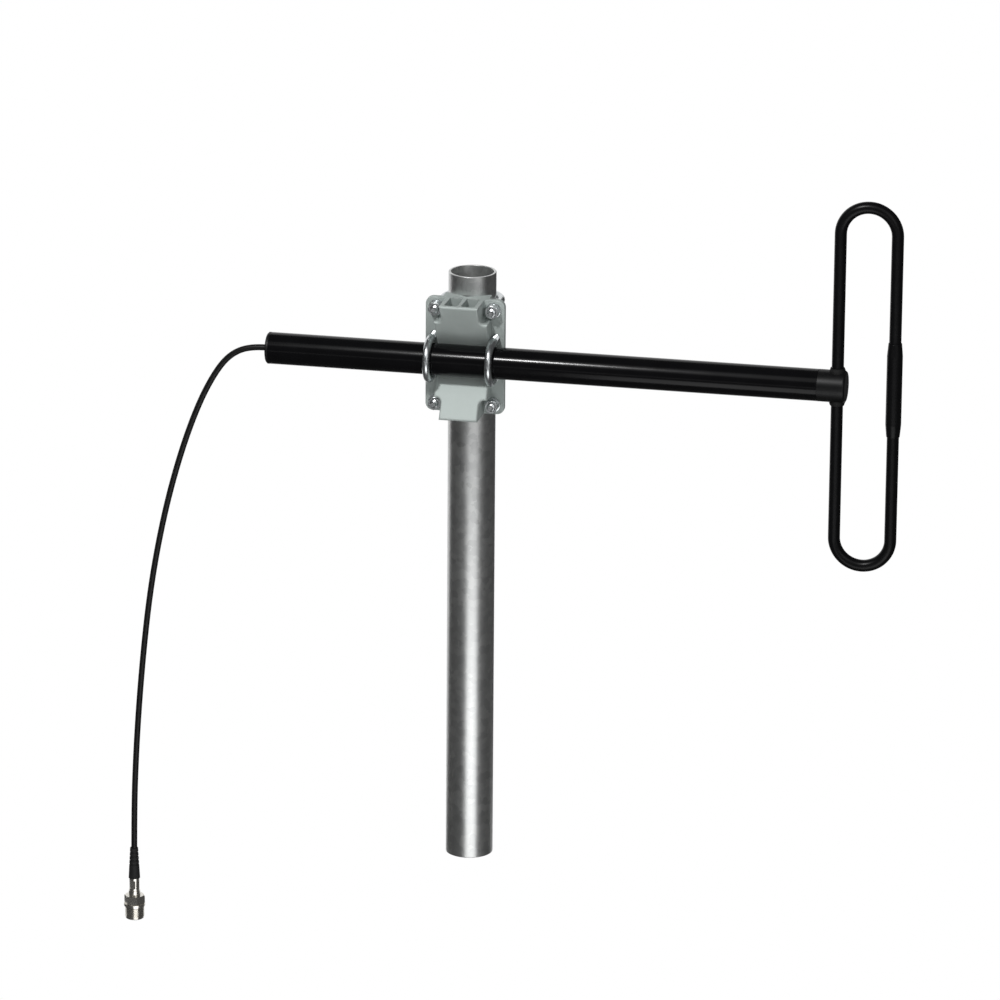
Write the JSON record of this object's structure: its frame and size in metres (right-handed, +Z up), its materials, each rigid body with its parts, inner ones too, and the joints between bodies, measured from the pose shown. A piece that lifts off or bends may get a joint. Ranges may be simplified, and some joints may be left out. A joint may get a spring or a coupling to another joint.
{
  "type": "folded dipole antenna",
  "caption": "Tall closed loop of black rod on a black side boom, clamped across a vertical galvanised mast stub, with a coaxial tail and connector hanging from the boom's rear.",
  "frame": {"origin": "centre of the mast stub's lower end", "axes": "+Z up the mast, +X along the boom towards the loop, -Y from the mast towards the boom"},
  "size_m": [0.6317, 0.0857, 0.6455],
  "materials": {
    "galvanised_steel": "galvanised and drawn, satin",
    "zinc_plate": "bright zinc plated",
    "cast_aluminium": "die cast, tumbled, clear passivated",
    "black_anodised": "black anodised, semi-gloss",
    "black_coated_rod": "black coated, semi-gloss",
    "black_moulding": "moulded, fine grain",
    "black_seal": "soft, matt",
    "black_jacket": "extruded cable jacket, satin",
    "brown_jacket": "thin cable jacket",
    "brass": "turned",
    "tinned_brass": "tinned",
    "nickel_plate": "turned and nickel plated",
    "gilt_contact": "gold flashed",
    "pale_insulator": "machined, waxy"
  },
  "bodies": {
    "root": {"mast_tube": "galvanised_steel", "clamp_saddle": "cast_aluminium", "upper_mast_u_bolt": "zinc_plate", "lower_mast_u_bolt": "zinc_plate", "rear_boom_u_bolt": "zinc_plate", "front_boom_u_bolt": "zinc_plate", "mast_u_bolt_washers": "zinc_plate", "mast_u_bolt_spring_washers": "zinc_plate", "mast_u_bolt_nuts": "zinc_plate", "boom_u_bolt_washers": "zinc_plate", "boom_u_bolt_spring_washers": "zinc_plate", "boom_u_bolt_nuts": "zinc_plate", "boom_tube": "black_anodised", "feed_head": "black_moulding", "upper_limb_seal": "black_seal", "lower_limb_seal": "black_seal", "upper_half_loop": "black_coated_rod", "lower_half_loop": "black_coated_rod", "joint_sleeve": "black_coated_rod", "upper_feed_screw": "brass", "lower_feed_screw": "brass", "upper_solder_lug": "tinned_brass", "lower_solder_lug": "tinned_brass", "boom_coax": "black_jacket", "balun_hairpin": "brown_jacket", "rear_cable_gland": "black_moulding", "coax_tail": "black_jacket", "connector_boot": "black_seal", "connector_ferrule": "nickel_plate", "connector_body": "nickel_plate", "connector_insulator": "pale_insulator", "connector_contact": "gilt_contact"}
  },
  "joints": []
}
